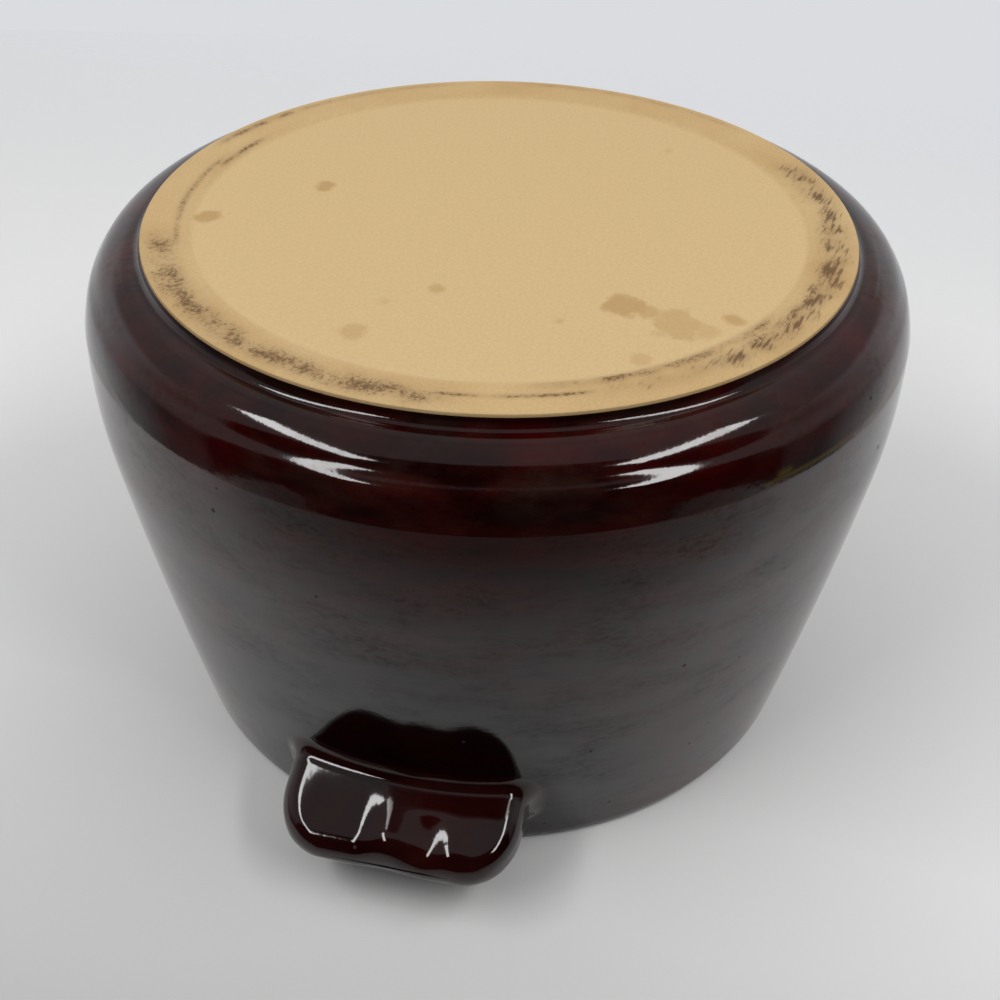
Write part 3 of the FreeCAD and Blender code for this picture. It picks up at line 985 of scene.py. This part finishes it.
class BEANPOT_OT_stage(bpy.types.Operator):
    """Set the pale table, the lamps, the surroundings and the camera"""

    bl_idname = "beanpot.stage"
    bl_label = "Stage"

    def execute(self, context):
        pot = context.scene.bean_pot
        to_pot = seen_frame(pot.stage)
        self.tables(pot, to_pot)
        self.lamps(to_pot)
        self.surroundings(context.scene, to_pot)
        self.camera(context.scene, pot.stage, to_pot)
        context.scene.view_settings.view_transform = "Standard"
        return {"FINISHED"}

    def tables(self, pot, to_pot):
        """The table under the mouth, and a floor under the foot for views from above."""
        form = pot.form
        tone = "DFDFDE"
        hole = form.rim_radius - form.lip_round
        # Painted shade and light: the table is darker towards the viewer and lighter away to the right;
        # the mirrored table darkens towards the viewer
        lighter = to_pot @ Vector((0.25, 0.97, 0))
        table = sheet_material("pale_table", tone, 0.6, hole, (lighter, -0.15, -0.06, 0.66, 1.03))
        away = to_pot @ Vector((0, 1, 0))
        glazed = sheet_material("table_mirrored", tone, 0.6, hole, (away, -0.24, -0.09, 0.2, 1.0))
        level = form.height + 0.1 * MM
        seen = sheet("table_in_view", (0.13, -0.18), (0.40, 0.47), form.height, -1, table, to_pot)
        mirrored = sheet("table_in_glaze", (0.30, -0.27), (0.30, 0.9), level, -1, glazed, to_pot)
        seen.visible_glossy = False
        mirrored.visible_camera = False
        ground = sheet_material("pale_floor", tone, 0.6)
        floor = sheet("floor_under_foot", (4, -4), (4, 4), -0.05 * MM, 1, ground, to_pot)
        floor.visible_glossy = False
        for made in (seen, mirrored, floor):
            made.visible_diffuse = made is mirrored
            made.visible_transmission = False
            made.visible_shadow = False

    def lamps(self, to_pot):
        """Two long strips over the viewer's left and right, and the soft glow of the tent's top."""
        for name, place, size, energy in (
            ("left_strip", (-0.73, -0.36, 0.95), (0.18, 1.0), 7.0),
            ("right_strip", (0.73, -0.36, 0.95), (0.18, 1.0), 7.0),
            ("tent_top", (0, 0.15, 1.0), (2.0, 1.4), 5.0),
        ):
            light = bpy.data.lights.new(name, "AREA")
            light.shape = "RECTANGLE"
            light.size, light.size_y = size
            light.energy = energy
            lamp = bpy.data.objects.new(name, light)
            middle = to_pot @ Vector(place)
            back = middle.normalized()
            across = (to_pot @ Vector((0, 1, 0))).cross(back).normalized()
            turned = Matrix((across, back.cross(across), back)).transposed()
            lamp.matrix_world = Matrix.Translation(middle) @ turned.to_4x4()
            lamp.visible_glossy = "strip" in name
            bpy.context.scene.collection.objects.link(lamp)

    def surroundings(self, scene, to_pot):
        """A white light tent, open in front: pale walls, a greyer ceiling, and dark beyond."""
        world = bpy.data.worlds.new("light_tent")
        world.use_nodes = True
        world.node_tree.nodes.clear()
        add = partial(add_node, world.node_tree)
        toward = add("TexCoord").outputs["Generated"]
        reach = {}
        for name, wall in TENT.items():
            aim = to_pot @ Vector(wall)
            reach[name] = add(
                "VectorMath", {0: toward, 1: aim / aim.length_squared}, operation="DOT_PRODUCT"
            ).outputs["Value"]
        side = add("Math", {0: reach["side"]}, operation="ABSOLUTE").outputs[0]
        side = add("Math", {0: side, 1: reach["back"]}, operation="MAXIMUM").outputs[0]
        rest = add("Math", {0: side, 1: reach["top"]}, operation="MAXIMUM").outputs[0]
        ahead = add("Math", {0: reach["front"], 1: rest}, operation="SUBTRACT").outputs[0]
        above = add("Math", {0: reach["top"], 1: side}, operation="SUBTRACT").outputs[0]
        opening = add("MapRange", {0: ahead, 1: -0.15, 2: 0.25}, interpolation_type="SMOOTHSTEP")
        ceiling = add("MapRange", {0: above, 1: -0.2, 2: 0.2}, interpolation_type="SMOOTHSTEP")
        behind = add("MapRange", {0: reach["back"], 1: 0.0, 2: 0.6}).outputs[0]
        height = add("VectorMath", {0: toward, 1: to_pot @ UP}, operation="DOT_PRODUCT")
        high = add("MapRange", {0: height.outputs["Value"], 1: 0.05, 2: 0.6}).outputs[0]
        sides = add(
            "Mix", {0: high, 6: linear("5A5A5C"), 7: linear("B4B5B7")}, data_type="RGBA"
        ).outputs[2]
        walls = add(
            "Mix", {0: behind, 6: sides, 7: linear("DDDFE2")}, data_type="RGBA"
        ).outputs[2]
        tent = add(
            "Mix", {0: ceiling.outputs[0], 6: walls, 7: linear("9C9D9F")}, data_type="RGBA"
        ).outputs[2]
        tone = add(
            "Mix", {0: opening.outputs[0], 6: tent, 7: linear("181818")}, data_type="RGBA"
        ).outputs[2]
        looked_at = add("LightPath").outputs["Is Camera Ray"]
        shown = add(
            "Mix", {0: looked_at, 6: tone, 7: linear("DADCE0")}, data_type="RGBA"
        ).outputs[2]
        add("OutputWorld", {"Surface": add("Background", {"Color": shown}).outputs[0]})
        scene.world = world

    def camera(self, scene, stage, to_pot):
        data = bpy.data.cameras.new("camera")
        data.sensor_width = SENSOR
        data.lens = stage.lens
        camera = bpy.data.objects.new("camera", data)
        axes = Matrix([to_pot @ axis for axis in camera_axes(stage)]).transposed()
        place = to_pot @ camera_place(stage)
        camera.matrix_world = Matrix.Translation(place) @ axes.to_4x4()
        scene.collection.objects.link(camera)
        scene.camera = camera


class BEANPOT_PT_build(bpy.types.Panel):
    """Lists the pot's pieces and its stage"""

    bl_idname = "BEANPOT_PT_build"
    bl_label = "Bean pot"
    bl_space_type = "VIEW_3D"
    bl_region_type = "UI"
    bl_category = "Bean pot"

    def draw(self, context):
        for operator in OPERATORS:
            self.layout.operator(operator.bl_idname)


GROUPS = [PotForm, LugForm, ClayLook, GlazeLook, StageSetup, BeanPot]
OPERATORS = [
    BEANPOT_OT_clay_body,
    BEANPOT_OT_glaze_coat,
    BEANPOT_OT_liner,
    BEANPOT_OT_lugs,
    BEANPOT_OT_stage,
]


def register():
    for cls in (*GROUPS, *OPERATORS, BEANPOT_PT_build):
        bpy.utils.register_class(cls)
    bpy.types.Scene.bean_pot = PointerProperty(type=BeanPot)


def unregister():
    del bpy.types.Scene.bean_pot
    for cls in (BEANPOT_PT_build, *reversed(OPERATORS), *reversed(GROUPS)):
        bpy.utils.unregister_class(cls)


def main():
    register()
    bpy.ops.beanpot.clay_body()
    bpy.ops.beanpot.glaze_coat()
    bpy.ops.beanpot.liner()
    bpy.ops.beanpot.lugs()
    bpy.ops.beanpot.stage()
    bpy.context.view_layer.update()


if __name__ == "__main__":
    main()
